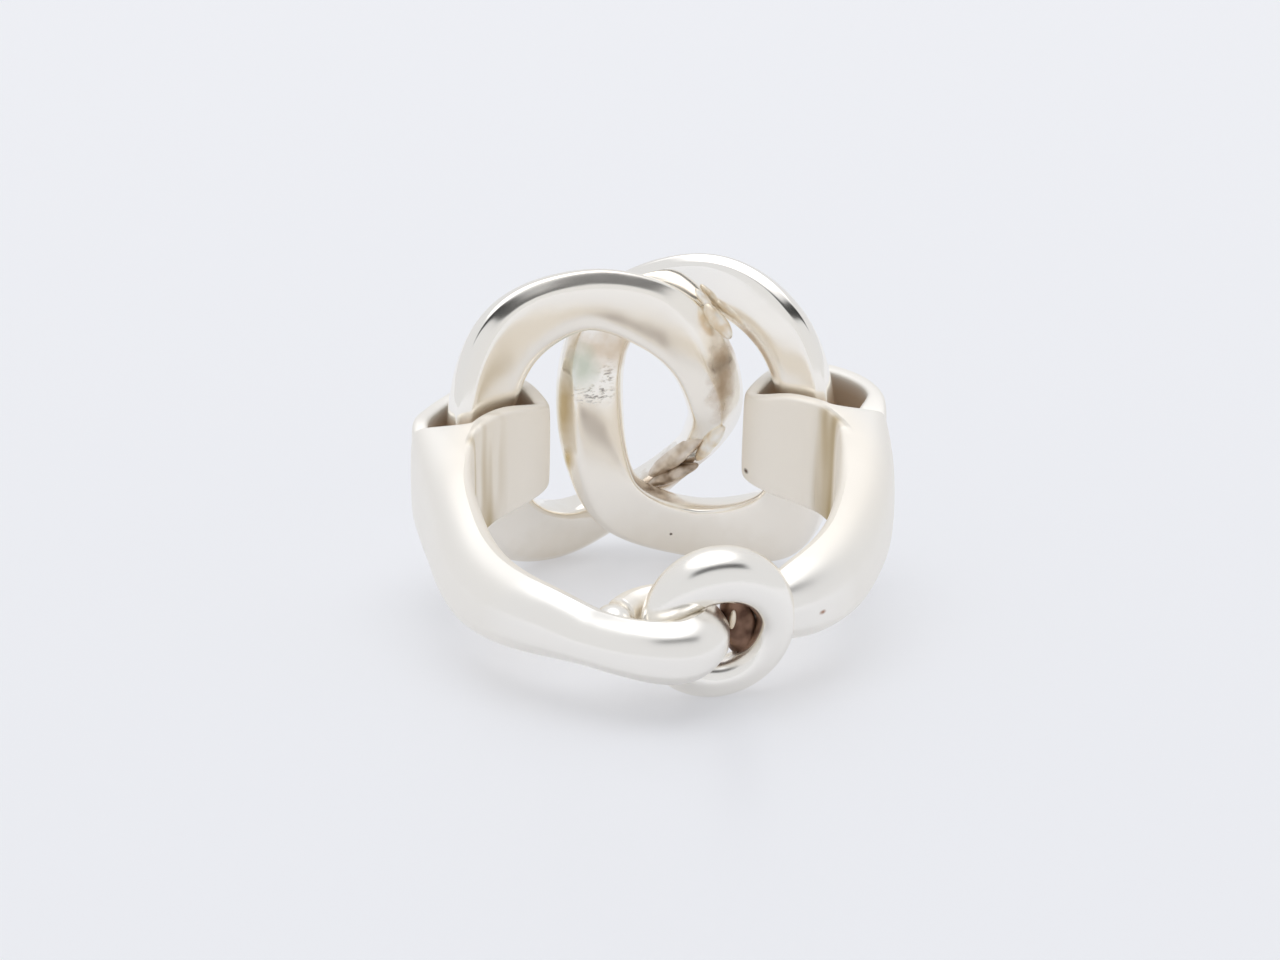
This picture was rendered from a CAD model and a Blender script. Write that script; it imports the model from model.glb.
"""A silver ring of two interlocked links, lying on its side on a white table.

Each link is held in a strap that is folded round it, and the two halves of the band meet at the back,
where a hook goes through an eye. Tables are in millimetres about the finger's axis, Z, with the links
towards +Y and the knot towards -Y. REST tips the ring on to its side and turns millimetres to metres.
"""

import math

import bmesh
import bpy
from mathutils import Matrix, Vector, noise


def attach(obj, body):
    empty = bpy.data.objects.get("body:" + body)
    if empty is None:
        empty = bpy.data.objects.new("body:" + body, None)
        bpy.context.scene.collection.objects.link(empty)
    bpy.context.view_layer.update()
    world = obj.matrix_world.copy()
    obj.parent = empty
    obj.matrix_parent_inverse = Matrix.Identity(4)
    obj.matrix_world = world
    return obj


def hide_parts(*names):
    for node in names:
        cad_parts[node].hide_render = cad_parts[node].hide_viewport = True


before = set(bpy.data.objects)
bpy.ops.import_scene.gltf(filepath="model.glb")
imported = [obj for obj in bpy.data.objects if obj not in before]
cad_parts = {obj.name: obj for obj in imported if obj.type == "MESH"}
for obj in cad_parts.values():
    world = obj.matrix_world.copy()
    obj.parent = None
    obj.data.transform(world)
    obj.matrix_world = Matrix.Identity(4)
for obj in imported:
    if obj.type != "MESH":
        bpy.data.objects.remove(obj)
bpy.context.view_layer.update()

MM = 0.001
TILT = math.radians(12.5)
REST = (
    Matrix.Scale(MM, 4)
    @ Matrix.Translation((0.11, -0.12, 6.15))
    @ Matrix.Rotation(TILT, 4, "X")
)

# Sizes, as in the part's source

LINK_R = 11.0
EYE_WIRE = 1.85
EYE_TOP_WIRE = 2.4
EYE_HALF_U = 2.8
EYE_HALF_V = 2.9
EYE_DROP = 0.2
EYE_R = 10.35
EYE_SHIFT = 1.4
SOLDER_AT = (3.45, -10.25, 0)  # bead that closes the hook
SOLDER_R = 1.05

# Links: place of the wire's middle along the finger's curve and axis, half widths towards the hole and the
# rim, thickness, lift off the links' radius, twist, bevel at the hole, and the bevel at the rim across the
# face and down the side
ALONG, UP, HOLE_W, RIM_W, THICK, LIFT, TWIST, BEVEL, EDGE, EDGE_SIDE = range(10)

LEFT_LINK = [
    (4.05, 0.4, 1.6, 1.35, 2.2, -0.2, 20, 0.4, 1.0, 1.1),
    (3.0, 3.4, 1.65, 1.8, 2.1, -0.9, 15, 0.5, 1.35, 1.0),
    (0.5, 5.5, 1.6, 2.0, 2.0, -1.18, 9, 0.5, 0.7, 0.55),
    (-3.6, 6.7, 1.55, 1.6, 2.2, -0.7, 8, 0.7, 0.7, 0.55),
    (-7.7, 4.65, 1.5, 2.85, 2.3, -0.1, 10, 0.8, 0.6, 0.65),
    (-9.5, 0, 1.4, 2.9, 2.2, 0, 5, 0.5, 0.5, 0.5),
    (-7.8, -4.9, 1.7, 1.9, 2.3, 0.1, 0, 0.4, 0.5, 0.5),
    (-4.0, -7.0, 1.3, 1.6, 2.3, 0.7, 0, 0.4, 0.5, 0.5),
    (-0.4, -5.9, 0.8, 1.1, 2.0, 1.1, 0, 0.3, 0.4, 0.4),
    (2.15, -3.7, 0.8, 0.8, 1.8, 1.0, 5, 0.3, 0.5, 0.5),
    (3.5, -1.9, 1.3, 0.9, 2.0, 0.5, 14, 0.3, 0.8, 0.8),
]

RIGHT_LINK = [
    (2.75, 0, 1.85, 1.65, 2.3, 0, 8, 0.55, 0.7, 0.7),
    (1.5, 4.6, 1.65, 1.75, 2.0, -1.2, 5, 0.3, 0.5, 0.5),
    (-3.2, 6.75, 1.5, 1.5, 2.2, -0.6, 0, 0.3, 0.4, 0.4),
    (-7.9, 4.9, 1.4, 2.4, 2.3, -0.1, 0, 0.4, 0.4, 0.4),
    (-9.2, 0, 1.3, 1.95, 2.2, 0, 5, 0.5, 0.4, 0.4),
    (-7.6, -4.6, 1.4, 1.9, 2.3, 0.1, 12, 1.0, 0.4, 0.4),
    (-3.4, -6.8, 1.55, 1.45, 2.1, 0.8, 12, 0.6, 0.4, 0.4),
    (1.2, -4.6, 1.4, 1.6, 2.0, 1.2, 8, 0.4, 0.4, 0.4),
]

# Bars: place of the middle in plan, thickness, lower and upper edge, the corner's rounding on the side to
# the finger, and on the other side how much of the thickness and the height its rounding takes
PLAN_X, PLAN_Y, ACROSS, LOW, HIGH, CORNER, ROUND_T, ROUND_H = range(8)

# Straps, from the end on the band's outside, round the link and back to the tongue on the finger's side
RIGHT_STRAP = [
    (10.65, 2.8, 1.5, -2.2, 2.1, 0.25, 0.3, 0.1),
    (10.6, 3.95, 1.8, -2.5, 2.35, 0.25, 0.3, 0.1),
    (10.95, 4.75, 1.45, -2.75, 2.65, 0.25, 0.3, 0.1),
    (11.3, 6.2, 0.85, -2.8, 2.8, 0.25, 0.3, 0.1),
    (10.6, 8.0, 0.85, -2.75, 2.75, 0.25, 0.3, 0.1),
    (8.9, 9.4, 0.85, -2.7, 2.7, 0.25, 0.3, 0.1),
    (6.9, 9.4, 0.8, -2.65, 2.6, 0.25, 0.3, 0.1),
    (5.35, 7.9, 0.75, -2.5, 2.15, 0.25, 0.3, 0.1),
    (5.6, 6.95, 0.75, -2.65, 2.35, 0.25, 0.3, 0.1),
    (6.8, 6.1, 0.75, -2.9, 2.8, 0.25, 0.3, 0.1),
    (7.72, 5.4, 0.75, -2.95, 2.95, 0.25, 0.3, 0.1),
    (8.72, 4.4, 0.75, -3.0, 3.0, 0.25, 0.3, 0.1),
    (9.6, 2.8, 0.75, -2.75, 2.7, 0.25, 0.3, 0.1),
]

LEFT_STRAP = [
    (11.2, 2.5, 0.8, -2.1, 2.1, 0.25, 0.3, 0.1),
    (11.45, 3.7, 0.85, -2.4, 2.3, 0.25, 0.3, 0.1),
    (11.5, 4.95, 0.8, -2.8, 2.65, 0.25, 0.3, 0.1),
    (10.85, 6.75, 0.8, -2.7, 2.3, 0.25, 0.3, 0.1),
    (9.9, 8.2, 0.8, -2.65, 2.15, 0.25, 0.3, 0.1),
    (8.1, 9.6, 0.8, -2.65, 2.4, 0.25, 0.3, 0.1),
    (6.3, 8.9, 0.8, -2.65, 2.6, 0.25, 0.3, 0.1),
    (5.3, 7.5, 0.8, -2.5, 2.05, 0.25, 0.3, 0.1),
    (5.75, 6.6, 0.8, -2.65, 2.35, 0.25, 0.3, 0.1),
    (7.1, 5.6, 0.8, -2.9, 2.8, 0.25, 0.3, 0.1),
    (8.1, 4.7, 0.8, -2.95, 2.95, 0.25, 0.3, 0.1),
    (8.85, 3.65, 0.8, -3.0, 3.0, 0.25, 0.3, 0.1),
    (9.6, 2.4, 0.8, -2.8, 2.8, 0.25, 0.3, 0.1),
]

# Shanks: way round the finger from the middle of the head in degrees, inner and outer radius, lower and
# upper edge, then the rounding as above. The left half is drawn on the right, and then mirrored.
ANGLE, R_IN, R_OUT = range(3)

RIGHT_SHANK = [
    (70, 9.35, 12.3, -3.0, 3.0, 0.3, 0.4, 0.25),
    (77, 9.05, 11.85, -3.0, 3.0, 0.3, 0.5, 0.33),
    (86, 8.65, 11.45, -2.9, 2.95, 0.35, 0.6, 0.43),
    (98, 8.4, 11.15, -2.7, 2.82, 0.4, 0.7, 0.55),
    (115, 8.5, 11.1, -2.5, 2.6, 0.45, 0.9, 0.75),
    (130, 8.85, 11.4, -2.4, 2.3, 0.5, 0.9, 0.8),
    (143, 9.1, 11.6, -2.2, 2.0, 0.5, 0.95, 0.9),
    (152, 9.3, 11.5, -1.9, 1.7, 0.5, 0.95, 0.95),
    (160, 9.6, 11.2, -1.3, 1.2, 0.5, 0.95, 0.95),
]

LEFT_SHANK = [
    (72, 9.35, 12.6, -2.75, 3.0, 0.3, 0.4, 0.25),
    (79, 9.25, 12.15, -2.8, 2.97, 0.3, 0.6, 0.35),
    (87, 9.25, 11.8, -2.95, 2.9, 0.35, 0.85, 0.45),
    (96, 9.3, 11.6, -3.1, 2.7, 0.5, 0.95, 0.6),
    (107, 9.35, 11.75, -3.15, 2.25, 0.65, 0.95, 0.75),
    (118, 9.5, 12.05, -3.1, 1.7, 0.8, 0.95, 0.85),
    (130, 9.7, 12.25, -2.75, 1.4, 0.9, 0.95, 0.95),
    (145, 9.9, 12.35, -2.25, 1.25, 0.9, 0.95, 0.95),
]

HOOK = [
    (4.65, -10.95, 2.4, -1.6, 1.15, 0.9, 0.95, 0.95),
    (3.2, -12.1, 2.3, -1.5, 1.3, 0.9, 0.95, 0.95),
    (1.6, -12.8, 2.3, -1.6, 1.45, 0.9, 0.95, 0.95),
    (0.4, -12.8, 2.4, -1.6, 1.45, 0.9, 0.95, 0.95),
    (-0.55, -11.9, 2.2, -1.5, 1.4, 0.9, 0.95, 0.95),
    (-0.85, -10.5, 1.8, -1.3, 1.0, 0.8, 0.95, 0.95),
    (-0.2, -9.2, 1.6, -1.1, 1.0, 0.7, 0.95, 0.95),
    (1.2, -8.6, 1.5, -1.0, 1.0, 0.7, 0.95, 0.95),
    (2.4, -9.0, 1.6, -1.0, 1.0, 0.7, 0.95, 0.95),
    (3.1, -9.75, 1.6, -1.0, 1.0, 0.7, 0.95, 0.95),
]


def between(a, b, c, d, t):
    """Row at t from 0 to 1 between rows b and c, on a Catmull-Rom curve with their neighbours a and d."""
    return [
        q + 0.5 * t * (r - p + t * (2 * p - 5 * q + 4 * r - s + t * (3 * (q - r) + s - p)))
        for p, q, r, s in zip(a, b, c, d)
    ]


def round_row(rows, place):
    """Row of a table that meets itself, at a place along it."""
    i, n = math.floor(place), len(rows)
    return between(*(rows[(i + k) % n] for k in (-1, 0, 1, 2)), place - i)


def open_row(rows, place):
    """Row of a table with two ends, at a place along it."""
    last = len(rows) - 1
    i = min(math.floor(place), last - 1)
    return between(*(rows[min(max(i + k, 0), last)] for k in (-1, 0, 1, 2)), place - i)


# Mesh

SMOOTH_OUT = 1.025  # a subdivided section comes out smaller than its cage by about this
LINK_STATIONS = 66  # sections along a link
EYE_STATIONS, EYE_ROUND = 32, 16  # sections along the eye's wire, and points round each
EYE_LEAN = 0.25  # at the eye's top, how far its wire drops for each millimetre to its front
EYE_TOP_DROP = 0.2  # and how far all of it drops there
SHANK_START = [0, 0.06, 0.3]  # places of a shank's first sections, close together behind the strap
FOLD_SIDE = (8, 9, 10)  # points of a bar's section on the side that a strap turns to the link
SWELL = 0.75  # size of the swells on a lump of solder


def lay_loop(bm, points, marked=()):
    """Edges of a closed loop through the points. The marked ones get 1 in the mesh's first float layer."""
    corners = bmesh.ops.create_circle(bm, segments=len(points), radius=1)["verts"]
    for corner, point in zip(corners, points):
        corner.co = point
    for k in marked:
        corners[k][bm.verts.layers.float[0]] = 1
    return list({edge for corner in corners for edge in corner.link_edges})


def skin(bm, loops, closed=False):
    """Faces from each loop to the next, with the two ends capped where it is open."""
    for one, other in zip(loops, loops[1:] + loops[:1] * closed):
        bmesh.ops.bridge_loops(bm, edges=one + other)
    if not closed:
        for end in (loops[0], loops[-1]):
            bmesh.ops.contextual_create(bm, geom=end)


def finish_piece(bm, name, material, node, levels=2):
    """Turns the mesh to metres at rest, and makes it a piece that replaces the node, or a part of it."""
    bm.normal_update()
    bmesh.ops.recalc_face_normals(bm, faces=bm.faces)
    bm.transform(REST)
    mesh = bpy.data.meshes.new(name)
    bm.to_mesh(mesh)
    bm.free()
    mesh.shade_smooth()
    piece = bpy.data.objects.new(name, mesh)
    bpy.context.scene.collection.objects.link(piece)
    smooth = piece.modifiers.new("Subdivision", "SUBSURF")
    smooth.levels = smooth.render_levels = levels
    mesh.materials.append(material)
    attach(piece, "root")
    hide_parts(node)


def link_section(row):
    """Points round a link's wire: flat to the finger with a bevel at each edge, and domed away from it.

    The bare shares are of the half widths, half the thickness and the bevels, and set how full it is.
    """
    hole, rim, t, b, edge, side = row[HOLE_W], row[RIM_W], row[THICK] / 2, *row[BEVEL:]
    brim = -t + 1.3 * side  # where the dome starts on the rim's side
    dome = [math.radians(d) for d in (20, 45, 68)]
    return (
        [(-hole + b, -t), (-hole + 0.35 * b, -t + 0.35 * b), (-hole, -t + 0.35 * b + 0.3)]
        + [(-hole, 0.1 * t), (-0.88 * hole, 0.6 * t), (-0.5 * hole, 0.92 * t), (0, t)]
        + [(rim * math.cos(d), brim + (t - brim) * math.sin(d)) for d in reversed(dome)]
        + [(rim, brim), (rim - 0.04 * edge, -t + side)]
        + [(rim - d * edge, -t + (1 - d) * side) for d in (0.15, 0.5, 0.85)]
        + [(rim - 1.1 * edge, -t), (0.1 * rim, -t - 0.04)]
    )


def link_points(rows, place):
    """Section of a link's wire, square to its own curve, and bent round the finger."""
    row, ahead = round_row(rows, place), round_row(rows, place + 0.02)
    way = Vector((ahead[ALONG] - row[ALONG], ahead[UP] - row[UP])).normalized()
    turn = math.radians(row[TWIST])
    points = []
    for x, y in link_section(row):
        w = SMOOTH_OUT * (x * math.cos(turn) - y * math.sin(turn))
        r = LINK_R + row[LIFT] + SMOOTH_OUT * (x * math.sin(turn) + y * math.cos(turn))
        along = (row[ALONG] + way.y * w) / LINK_R
        points.append((r * math.sin(along), r * math.cos(along), row[UP] - way.x * w))
    return points


def make_link(name, rows, material, node, flipped=False):
    """A curb link. The right one is drawn as the left one, and then turned over."""
    bm = bmesh.new()
    stations = [i * len(rows) / LINK_STATIONS for i in range(LINK_STATIONS)]
    skin(bm, [lay_loop(bm, link_points(rows, place)) for place in stations], closed=True)
    if flipped:
        bm.transform(Matrix.Rotation(math.pi, 4, "Y"))
    finish_piece(bm, name, material, node)


def bar_section(row):
    """Points round a bar: flat to the finger, and rounded away from it.

    The bare shares are of half the thickness, half the height and the corner's rounding.
    """
    t, h, corner = row[ACROSS] / 2, (row[HIGH] - row[LOW]) / 2, row[CORNER]
    rt, rh = row[ROUND_T] * 2 * t, row[ROUND_H] * h
    rt = min(rt, 2 * t - corner - 0.05)
    outer = [math.radians(d) for d in (67.5, 45, 22.5)]
    upper = (
        [(-t, h - 1.2 * corner), (-t + 0.25 * corner, h - 0.25 * corner), (-t + 1.2 * corner, h)]
        + [(t - rt - 0.1 * t, h)]
        + [(t - rt + rt * math.cos(d), h - rh + rh * math.sin(d)) for d in outer]
        + [(t, max(0.3 * h, h - rh - 0.15 * h))]
    )
    return [(-1.02 * t, 0)] + upper + [(1.02 * t, 0)] + [(x, -z) for x, z in reversed(upper)]


def stand(row, way):
    """Points of a bar's section, stood in plan across the way that the bar takes."""
    middle = (row[LOW] + row[HIGH]) / 2
    return [
        (
            row[PLAN_X] - way.y * x * SMOOTH_OUT,
            row[PLAN_Y] + way.x * x * SMOOTH_OUT,
            middle + z * SMOOTH_OUT,
        )
        for x, z in bar_section(row)
    ]


def bar_points(rows, place):
    """Section of a strap or the hook, square to its own curve."""
    row = open_row(rows, place)
    ahead, behind = open_row(rows, place + 0.05), open_row(rows, place - 0.05)
    way = Vector((ahead[PLAN_X] - behind[PLAN_X], ahead[PLAN_Y] - behind[PLAN_Y])).normalized()
    return stand(row, way)


def shank_points(rows, place):
    """Section of a shank, square to the finger's curve."""
    row = open_row(rows, place)
    turn, middle = math.radians(row[ANGLE]), (row[R_IN] + row[R_OUT]) / 2
    plan = [middle * math.sin(turn), middle * math.cos(turn), row[R_OUT] - row[R_IN]]
    return stand(plan + row[LOW:], Vector((math.cos(turn), -math.sin(turn))))


def places(rows, per_row, before_end=0):
    """Places along a table, from its first row to its last or so many rows before it."""
    return [k / per_row for k in range((len(rows) - 1 - before_end) * per_row + 1)]


def make_band(name, strap, shank, material, node, hook=()):
    """Half the band: its strap, folded from the outer end round to the tongue, its shank, and the hook."""
    bm = bmesh.new()
    bm.verts.layers.float.new("inside_fold")
    strap_places = places(strap, per_row=4, before_end=1)
    shank_places = SHANK_START + places(shank, per_row=3)[2:]
    loops = [lay_loop(bm, bar_points(strap, place), FOLD_SIDE) for place in strap_places]
    loops += [lay_loop(bm, shank_points(shank, place)) for place in shank_places]
    loops += [lay_loop(bm, bar_points(hook, place)) for place in places(hook, per_row=4)]
    skin(bm, loops)
    if hook:
        bead = Matrix.Translation(SOLDER_AT) @ Matrix.Scale(SOLDER_R, 4)
        bmesh.ops.create_icosphere(bm, subdivisions=2, radius=1, matrix=bead)
        bm.transform(Matrix.Scale(-1, 4, (1, 0, 0)))
    finish_piece(bm, name, material, node)


def make_eye(material):
    """The eye: a closed ring of wire, thicker at its top, drawn at the head and turned to the back."""
    bm = bmesh.new()
    loops = []
    for i in range(EYE_STATIONS):
        b = i * 2 * math.pi / EYE_STATIONS
        top = max(0, math.sin(b))
        middle = Vector((EYE_HALF_U * math.cos(b), EYE_HALF_V * math.sin(b)))
        out = Vector((EYE_HALF_V * math.cos(b), EYE_HALF_U * math.sin(b))).normalized()
        r = SMOOTH_OUT * (EYE_WIRE + (EYE_TOP_WIRE - EYE_WIRE) * top) / 2
        points = []
        for k in range(EYE_ROUND):
            turn = k * 2 * math.pi / EYE_ROUND
            w, h = r * math.cos(turn), r * math.sin(turn)
            w -= (EYE_LEAN * h + EYE_TOP_DROP) * top
            points.append((middle.x + out.x * w, EYE_R + h, middle.y + out.y * w - EYE_DROP))
        loops.append(lay_loop(bm, points))
    skin(bm, loops, closed=True)
    bm.transform(Matrix.Rotation(math.asin(EYE_SHIFT / EYE_R) - math.pi, 4, "Z"))
    finish_piece(bm, "eye", material, "eye_shank")


def make_lumps(name, rows, material, node):
    """Lumps of solder, each drawn out between two places, with an uneven skin."""
    bm = bmesh.new()
    for *ends, r, uneven in rows:
        one, other = Vector(ends[:3]), Vector(ends[3:])
        along = other - one
        middle, size = (one + other) / 2, (along.length / 2 + r, r, r)
        shape = Matrix.LocRotScale(middle, along.to_track_quat("X", "Z"), size)
        for corner in bmesh.ops.create_icosphere(bm, subdivisions=4, radius=1, matrix=shape)["verts"]:
            away = (corner.co - middle).normalized()
            corner.co += away * uneven * r * noise.noise(corner.co / SWELL)
    finish_piece(bm, name, material, node, levels=0)


# Materials

# Sizes of their patterns in millimetres, and the depth of a surface's waves

WAVE_SIZE = 1.6  # soft waves that polishing by hand leaves
EDGE_SIZE = 0.8  # bays in the edge of a stain
STREAK_SIZE = 1.3  # width of the streaks on a strap's tongue
FILE_SIZE = 0.11  # width of a file's lines, drawn coarser than a fine file's so that they show
MOTTLE_SIZE = 0.8  # patches of flux on solder
RIPPLE_SIZE = 0.6  # ripples in solder's skin
LINK_WAVE, BAND_WAVE, SOLDER_WAVE = 0.02, 0.03, 0.01
RIDGE = 8  # height of the tongue's streaks, in wave depths
UPRIGHT = (1, 1, 0.15)  # draws a pattern out along the finger
LEVEL = (0.3, 0.3, 1)  # and across it

# What each pattern takes of its noise, from none of it to all of it

EDGE_SHARE = (0.3, 0.7)
STREAK_SHARE, RIDGE_SHARE = (0.4, 0.7), (0.2, 0.8)
FILE_SHARE = (0.52, 0.66)
MOTTLE_SHARE = (0.35, 0.65)
MARK_SHARE = (1.5, 0.3)  # of a mark's half sizes
FILE_RAGGED = 0.5

# Where silver changes: distance from the finger's axis, and the way forward to the head

OUTER_FACE, INNER_FACE = 11, 9.8
KNOT_BRIGHT, KNOT_SATIN = -10, -8
TONGUE_TIP, TONGUE_ROOT, TONGUE_FACE = (5.0, 4.4), (1.6, 2.4), (9.7, 9.45)  # from none of it to all

# Silver's colours, and roughness

SILVER = "#FBF8F2"
INNER_SILVER = "#FFFAF1"
FOLD_BROWN = "#ECDDCB"
STREAK_GOLD = "#CDBB95"
FILED_GREY = "#A39D97"
LINK_ROUGHNESS, KNOT_ROUGHNESS, EYE_ROUGHNESS = 0.08, 0.28, 0.2
BAND_ROUGHNESS = 0.6
SOLDER_ROUGHNESS = (0.4, 0.5)
INNER_DULLER = 0.14  # roughness that the side to the finger has over the outer side


def colour(code):
    """Linear RGBA of an sRGB hex colour."""
    parts = [int(code[i : i + 2], 16) / 255 for i in (1, 3, 5)]
    return [p / 12.92 if p <= 0.04045 else ((p + 0.055) / 1.055) ** 2.4 for p in parts] + [1]


def add_node(tree, kind, inputs=None, output=0, **settings):
    """Adds a node with its settings, and gives one of its outputs.

    Each input is given a value, or the socket that feeds it.
    """
    made = tree.nodes.new(kind)
    for name, value in settings.items():
        setattr(made, name, value)
    for name, value in (inputs or {}).items():
        if isinstance(value, bpy.types.NodeSocket):
            tree.links.new(value, made.inputs[name])
        else:
            made.inputs[name].default_value = value
    return made.outputs[output]


def span(low, high, start=0, end=1):
    """Inputs that take the range low to high to the range start to end."""
    return {"From Min": low, "From Max": high, "To Min": start, "To Max": end}


def new_material(name):
    material = bpy.data.materials.new(name)
    material.use_nodes = True
    tree = material.node_tree
    return material, tree, tree.nodes["Principled BSDF"]


def lay_metal(tree, surface, tint, dull, wave, depth):
    """Gives a surface the look of metal: its tint, its roughness, and waves of a depth in millimetres."""
    bump = add_node(tree, "ShaderNodeBump", {"Height": wave, "Strength": 1, "Distance": depth * MM})
    for name, socket in (("Base Color", tint), ("Roughness", dull), ("Normal", bump)):
        tree.links.new(socket, surface.inputs[name])
    surface.inputs["Metallic"].default_value = 1


def ring_place(tree):
    """Place on the ring as it is drawn, about the finger's axis, in metres."""
    place = add_node(tree, "ShaderNodeTexCoord", output="Object")
    middle = REST.inverted().translation * MM
    turned = {"Vector": place, "Location": middle, "Rotation": (-TILT, 0, 0)}
    return add_node(tree, "ShaderNodeMapping", turned)


def swells(place, size, detail):
    """Inputs of noise with swells of a size in millimetres."""
    return {"Vector": place, "Scale": 1 / (size * MM), "Detail": detail}


def patch(tree, place, marks, ragged):
    """Mask that is 1 on the marks, each a middle and half sizes in millimetres, with ragged edges."""
    uneven = add_node(tree, "ShaderNodeTexNoise", swells(place, EDGE_SIZE, 2), "Fac")
    uneven = add_node(tree, "ShaderNodeMapRange", {"Value": uneven, **span(*EDGE_SHARE, -ragged, ragged)})
    mask = 0.0
    for mark in marks:
        middle, size = Vector(mark[:3]) * MM, Vector(mark[3:]) * MM
        around = {"Vector": place, "Location": middle, "Scale": size}
        unit = add_node(tree, "ShaderNodeMapping", around, vector_type="TEXTURE")
        reach = add_node(tree, "ShaderNodeVectorMath", {0: unit}, "Value", operation="LENGTH")
        reach = add_node(tree, "ShaderNodeMath", {0: reach, 1: uneven}, operation="ADD")
        on = add_node(tree, "ShaderNodeMapRange", {"Value": reach, **span(*MARK_SHARE)})
        mask = add_node(tree, "ShaderNodeMath", {0: mask, 1: on}, operation="MAXIMUM")
    return mask


def tongue_streaks(tree, place, forward, reach):
    """Upright streaks on the strap's tongue, as a mask of their colour and as ridges."""
    tongue = 1.0
    for value, (off, on) in ((forward, TONGUE_TIP), (forward, TONGUE_ROOT), (reach, TONGUE_FACE)):
        edge = add_node(tree, "ShaderNodeMapRange", {"Value": value, **span(off * MM, on * MM)})
        tongue = add_node(tree, "ShaderNodeMath", {0: tongue, 1: edge}, operation="MULTIPLY")
    upright = add_node(tree, "ShaderNodeVectorMath", {0: place, 1: UPRIGHT}, operation="MULTIPLY")
    streak = add_node(tree, "ShaderNodeTexNoise", swells(upright, STREAK_SIZE, 1), "Fac")
    golden = add_node(tree, "ShaderNodeMapRange", {"Value": streak, **span(*STREAK_SHARE)})
    ridge = add_node(tree, "ShaderNodeMapRange", {"Value": streak, **span(*RIDGE_SHARE, 0, RIDGE)})
    return [
        add_node(tree, "ShaderNodeMath", {0: tongue, 1: amount}, operation="MULTIPLY")
        for amount in (golden, ridge)
    ]


def file_lines(tree, place, marks):
    """Mask of the lines that a file left level on the marks."""
    level = add_node(tree, "ShaderNodeVectorMath", {0: place, 1: LEVEL}, operation="MULTIPLY")
    lines = add_node(tree, "ShaderNodeTexNoise", swells(level, FILE_SIZE, 3), "Fac")
    lines = add_node(tree, "ShaderNodeMapRange", {"Value": lines, **span(*FILE_SHARE)})
    worked = patch(tree, place, marks, FILE_RAGGED)
    return add_node(tree, "ShaderNodeMath", {0: worked, 1: lines}, operation="MULTIPLY")


def silver(name, outer_roughness, wave_depth, stains=(), filed=(), band=False):
    """Sterling silver, cast and polished by hand, which gives a bright mirror with soft waves in it.

    The side to the finger is duller and a little yellow, since polishing reaches it less. Each stain is a
    colour, a roughness, how ragged its edge is, and its marks. The filed marks show grey lines. A half of
    the band is satin from wear but for its end at the knot, and its strap is brown in the fold and streaky
    on the tongue.
    """
    material, tree, surface = new_material(name)
    place = ring_place(tree)
    plan = add_node(tree, "ShaderNodeVectorMath", {0: place, 1: (1, 1, 0)}, operation="MULTIPLY")
    reach = add_node(tree, "ShaderNodeVectorMath", {0: plan}, "Value", operation="LENGTH")
    inside = {"Value": reach, **span(INNER_FACE * MM, OUTER_FACE * MM, 1, 0)}
    inside = add_node(tree, "ShaderNodeMapRange", inside)
    roughness = span(0, 1, outer_roughness, outer_roughness + INNER_DULLER)
    dull = add_node(tree, "ShaderNodeMapRange", {"Value": inside, **roughness})
    wave = add_node(tree, "ShaderNodeTexNoise", swells(place, WAVE_SIZE, 1), "Fac")
    coats = [(inside, INNER_SILVER)]
    if band:
        forward = add_node(tree, "ShaderNodeSeparateXYZ", {0: place}, "Y")
        satin = span(KNOT_BRIGHT * MM, KNOT_SATIN * MM, outer_roughness, BAND_ROUGHNESS)
        satin = add_node(tree, "ShaderNodeMapRange", {"Value": forward, **satin})
        dull = add_node(tree, "ShaderNodeMath", {0: dull, 1: satin}, operation="MAXIMUM")
        folded = add_node(tree, "ShaderNodeAttribute", output="Fac", attribute_name="inside_fold")
        golden, ridge = tongue_streaks(tree, place, forward, reach)
        wave = add_node(tree, "ShaderNodeMath", {0: wave, 1: ridge}, operation="ADD")
        coats += [(folded, FOLD_BROWN), (golden, STREAK_GOLD)]
    if filed:
        cut = file_lines(tree, place, filed)
        wave = add_node(tree, "ShaderNodeMath", {0: wave, 1: cut}, operation="SUBTRACT")
        coats.append((cut, FILED_GREY))
    for code, roughness, ragged, marks in stains:
        mask = patch(tree, place, marks, ragged)
        dull = add_node(tree, "ShaderNodeMapRange", {"Value": mask, **span(0, 1, dull, roughness)})
        coats.append((mask, code))
    tint = colour(SILVER)
    for share, code in coats:
        coat = {"Factor": share, "A": tint, "B": colour(code)}
        tint = add_node(tree, "ShaderNodeMix", coat, "Result", data_type="RGBA")
    lay_metal(tree, surface, tint, dull, wave, wave_depth)
    return material


def solder(name, clean, burnt):
    """Silver solder, flooded into a joint with a torch and left as it set, which gives a satin skin.

    Flux that burnt on it mottles it from the clean colour to the burnt one.
    """
    material, tree, surface = new_material(name)
    place = ring_place(tree)
    mottle = add_node(tree, "ShaderNodeTexNoise", swells(place, MOTTLE_SIZE, 2), "Fac")
    mottle = add_node(tree, "ShaderNodeMapRange", {"Value": mottle, **span(*MOTTLE_SHARE)})
    coat = {"Factor": mottle, "A": colour(clean), "B": colour(burnt)}
    tint = add_node(tree, "ShaderNodeMix", coat, "Result", data_type="RGBA")
    dull = add_node(tree, "ShaderNodeMapRange", {"Value": mottle, **span(0, 1, *SOLDER_ROUGHNESS)})
    ripple = add_node(tree, "ShaderNodeTexNoise", swells(place, RIPPLE_SIZE, 2), "Fac")
    lay_metal(tree, surface, tint, dull, ripple, SOLDER_WAVE)
    return material


# Marks left by the torch, the file and wear: middle and half sizes of each, on the ring as it is drawn

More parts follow.
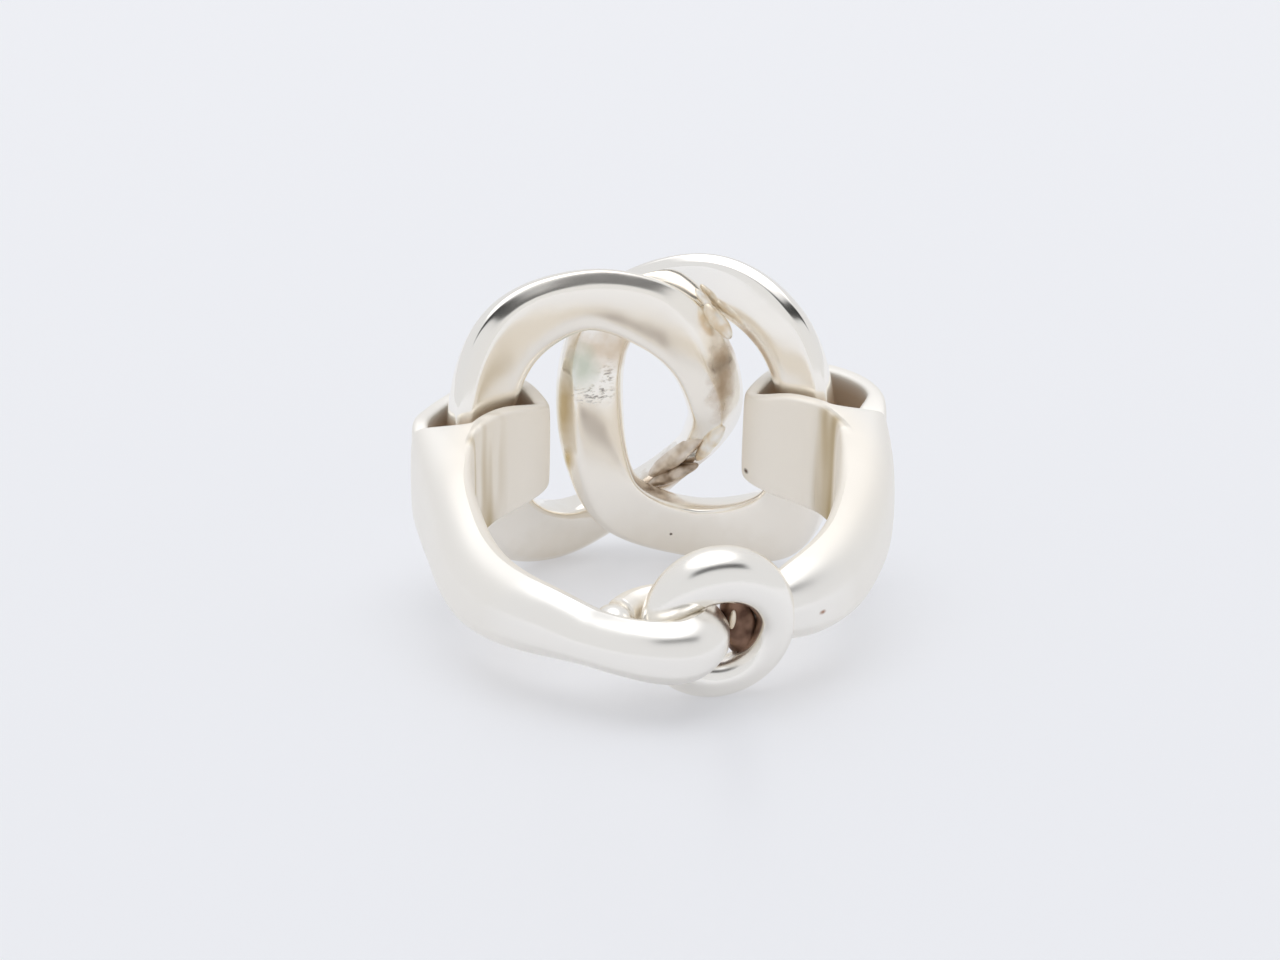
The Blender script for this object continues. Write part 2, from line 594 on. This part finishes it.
BROWN_MARKS = [
    (4.15, 8.9, 3.4, 0.7, 0.9, 1.1),
    (3.95, 9.0, 2.0, 0.6, 0.9, 1.5),
    (2.2, 10.9, -3.9, 1.3, 0.9, 0.7),
    (1.4, 11.2, -4.8, 1.1, 0.7, 0.5),
]
GOLD_MARKS = [(-4.0, 9.7, 0.6, 0.4, 0.8, 1.9), (-3.8, 9.3, -2.2, 0.25, 0.5, 0.6)]
GREY_MARKS = [(-3.0, 10.2, 2.6, 0.7, 0.8, 1.0)]
BEIGE_MARKS = [(-2.0, 10.4, 3.4, 1.6, 0.9, 0.9)]
LOW_MARKS = [(-1, 9, -9.3, 10, 6, 2.9)]
FILE_MARKS = [(-2.4, 9.9, 1.2, 0.8, 0.7, 0.4), (-1.75, 10.2, 2.0, 0.3, 0.6, 0.7)]
PIT_MARKS = [(5.07, 7.05, -1.98, 0.1, 0.2, 0.12), (1.58, 8.95, -6.66, 0.07, 0.2, 0.07)]
WEAR_MARKS = [(6.38, -9.72, -0.08, 0.16, 0.2, 0.1)]

# Stains: colour, roughness, how ragged the edge is, and the marks

LINK_STAINS = [
    ("#F0E7D8", 0.2, 0.1, LOW_MARKS),
    ("#E3D3BE", 0.25, 0.3, BEIGE_MARKS),
    ("#D2D6C6", 0.2, 0.2, GREY_MARKS),
    ("#DDCBA6", 0.2, 0.15, GOLD_MARKS),
    ("#CDBAA4", 0.35, 0.35, BROWN_MARKS),
    ("#4A3A2E", 0.5, 0.1, PIT_MARKS),
]
BAND_STAINS = [("#6A5648", 0.5, 0.1, PIT_MARKS), ("#B08A74", 0.4, 0.4, WEAR_MARKS)]

# Solder: the two ends of each lump, its radius, and how uneven its skin is, as a share of the radius

TOP_SOLDER = [
    (2.7, 9.95, 6.8, 3.3, 9.6, 6.1, 0.22, 0.35),
    (3.25, 9.5, 6.0, 4.05, 9.05, 5.0, 0.4, 0.35),
]
SIDE_SOLDER = [(4.05, 9.2, -0.75, 3.1, 10.1, -2.7, 0.36, 0.35)]
LOW_SOLDER = [(0.8, 11.2, -4.9, 2.7, 10.5, -3.6, 0.4, 0.5)]
HOLE_SOLDER = [(3.1, 10.0, -1.6, 0.9, 11.25, -4.25, 0.42, 0.5)]
EYE_SOLDER = [(2.25, -9.55, 0.6, 2.6, -9.55, -1.5, 0.85, 0.1)]
EYE_STREAK = [(2.1, -10.3, 0.4, 2.05, -10.3, -0.3, 0.16, 0.1)]

# The ring

# The links were polished last and by hand: a mirror with soft waves
bright_silver = silver(
    "hand_polished_sterling_silver", LINK_ROUGHNESS, LINK_WAVE, LINK_STAINS, FILE_MARKS
)
# The band was polished once and worn by the fingers beside it: satin, with broad soft lights
worn_silver = silver(
    "softly_worn_sterling_silver", KNOT_ROUGHNESS, BAND_WAVE, BAND_STAINS, band=True
)
# The eye was bent from polished wire: lights with soft edges
eye_silver = silver("softly_polished_sterling_silver", EYE_ROUGHNESS, BAND_WAVE)
# Solder that was pickled clean: pale
clean_solder = solder("silver_solder", "#FFFCF5", "#F0DFC4")
# Solder that was overheated under its flux: brown and grey patches
burnt_solder = solder("solder_with_burnt_flux", "#DCCFC0", "#98836F")
# Solder with flux left in its pores: beige patches
dusty_solder = solder("solder_with_traces_of_flux", "#F0E6DA", "#CBBBA8")
# Solder behind the eye's hole, where polishing never reached: dark tarnish
dark_solder = solder("silver_tarnished_in_a_recess", "#8C6F5E", "#5E463A")

make_link("left_curb_link", LEFT_LINK, bright_silver, "left_link")
make_link("right_curb_link", RIGHT_LINK, bright_silver, "right_link", flipped=True)
make_band("hook_half", LEFT_STRAP, LEFT_SHANK, worn_silver, "hook_shank", HOOK)
make_band("eye_half", RIGHT_STRAP, RIGHT_SHANK, worn_silver, "eye_shank")
make_eye(eye_silver)
make_lumps("top_solder", TOP_SOLDER, clean_solder, "left_link")
make_lumps("side_solder", SIDE_SOLDER, clean_solder, "left_link")
make_lumps("low_solder", LOW_SOLDER, burnt_solder, "left_link")
make_lumps("hole_solder", HOLE_SOLDER, dusty_solder, "left_link")
make_lumps("eye_solder", EYE_SOLDER, dark_solder, "eye_shank")
make_lumps("eye_solder_streak", EYE_STREAK, clean_solder, "eye_shank")

# Table, light and camera

TABLE_HALF = 1.5  # in metres
CARD_GLOW = 0.33

# The tent: how bright it is, and each limit as a share of the way out from its middle

WALL_LIGHT, TOP_LIGHT = 0.8, 1.8
TOP_EDGE, TOP_FULL = 0.84, 0.95  # heights where the top's light starts and is full
GAP_ACROSS = (-0.189, 0.709, 0.679)  # way square to the dark gap
GAP_OFF = 0.05  # how far the gap's middle line is that way
GAP_HALF, GAP_SOFT = 0.1, 0.04  # half its width, and the width of its soft edge
GAP_MIDDLE = (0.22, -0.63, 0.743)  # way to its middle
GAP_END, GAP_FULL = 0.8, 0.9  # shares of that way where it ends and is full
GAP_LIGHT = 0.06  # what is left of the light in it

# The camera: angles in degrees, lengths in millimetres and places in the picture in pixels

LOOK_DOWN, LOOK_RIGHT = 17.5, 6.5
CAMERA_REACH = 170
PICTURE_W, PICTURE_H = 1280, 960
PIXELS_PER_MM = 20.5
AIM = (0.11, 0.76, 6.345)  # place on the ring that the photograph shows at AIM_X, AIM_Y
AIM_X, AIM_Y = 661, 501


def table():
    """Card, pressed smooth and sized, which gives an even white with a soft sheen.

    It glows a little, so that it blends into the tent as it does in the photograph.
    """
    material, tree, surface = new_material("white_card")
    surface.inputs["Base Color"].default_value = colour("#BFC0C3")
    surface.inputs["Roughness"].default_value = 0.4
    surface.inputs["Emission Color"].default_value = colour("#FAFBFF")
    surface.inputs["Emission Strength"].default_value = CARD_GLOW
    bm = bmesh.new()
    bmesh.ops.create_grid(bm, x_segments=1, y_segments=1, size=TABLE_HALF)
    mesh = bpy.data.meshes.new("table")
    bm.to_mesh(mesh)
    bm.free()
    mesh.materials.append(material)
    floor = bpy.data.objects.new("table", mesh)
    bpy.context.scene.collection.objects.link(floor)


def light_tent():
    """A white light tent, brightest overhead, with a dark gap that arches above the camera."""
    world = bpy.data.worlds.new("light_tent")
    bpy.context.scene.world = world
    world.use_nodes = True
    tree = world.node_tree
    way = add_node(tree, "ShaderNodeTexCoord", output="Generated")
    height = add_node(tree, "ShaderNodeSeparateXYZ", {0: way}, "Z")
    white = {"Value": height, **span(TOP_EDGE, TOP_FULL, WALL_LIGHT, TOP_LIGHT)}
    white = add_node(tree, "ShaderNodeMapRange", white, interpolation_type="SMOOTHSTEP")
    across, ahead = [
        add_node(tree, "ShaderNodeVectorMath", {0: way, 1: axis}, "Value", operation="DOT_PRODUCT")
        for axis in (GAP_ACROSS, GAP_MIDDLE)
    ]
    off = add_node(tree, "ShaderNodeMath", {0: across, 1: GAP_OFF}, operation="SUBTRACT")
    off = add_node(tree, "ShaderNodeMath", {0: off}, operation="ABSOLUTE")
    beside = {"Value": off, **span(GAP_HALF, GAP_HALF + GAP_SOFT)}
    beside = add_node(tree, "ShaderNodeMapRange", beside)
    beyond = add_node(tree, "ShaderNodeMapRange", {"Value": ahead, **span(GAP_END, GAP_FULL, 1, 0)})
    lit = add_node(tree, "ShaderNodeMath", {0: beside, 1: beyond}, operation="MAXIMUM")
    lit = add_node(tree, "ShaderNodeMapRange", {"Value": lit, **span(0, 1, GAP_LIGHT, 1)})
    strength = add_node(tree, "ShaderNodeMath", {0: white, 1: lit}, operation="MULTIPLY")
    background = tree.nodes["Background"]
    background.inputs["Color"].default_value = colour("#FBFCFF")
    tree.links.new(strength, background.inputs["Strength"])


def camera():
    """The photograph's view, from behind the knot, low over the table and a little from the left."""
    down, right = math.radians(LOOK_DOWN), math.radians(LOOK_RIGHT)
    away = Vector((math.sin(right), math.cos(right), 0))
    look = away * math.cos(down) - Vector((0, 0, math.sin(down)))
    data = bpy.data.cameras.new("camera")
    data.lens = PIXELS_PER_MM * CAMERA_REACH / PICTURE_W * data.sensor_width
    data.shift_x = (PICTURE_W / 2 - AIM_X) / PICTURE_W
    data.shift_y = (AIM_Y - PICTURE_H / 2) / PICTURE_W
    data.clip_start = 1 * MM
    seen = bpy.data.objects.new("camera", data)
    seen.location = (Vector(AIM) - look * CAMERA_REACH) * MM
    seen.rotation_euler = look.to_track_quat("-Z", "Y").to_euler()
    bpy.context.scene.collection.objects.link(seen)
    bpy.context.scene.camera = seen


table()
light_tent()
camera()
bpy.context.scene.view_settings.view_transform = "Standard"
bpy.context.scene.cycles.max_bounces = 16
bpy.context.scene.cycles.glossy_bounces = 16
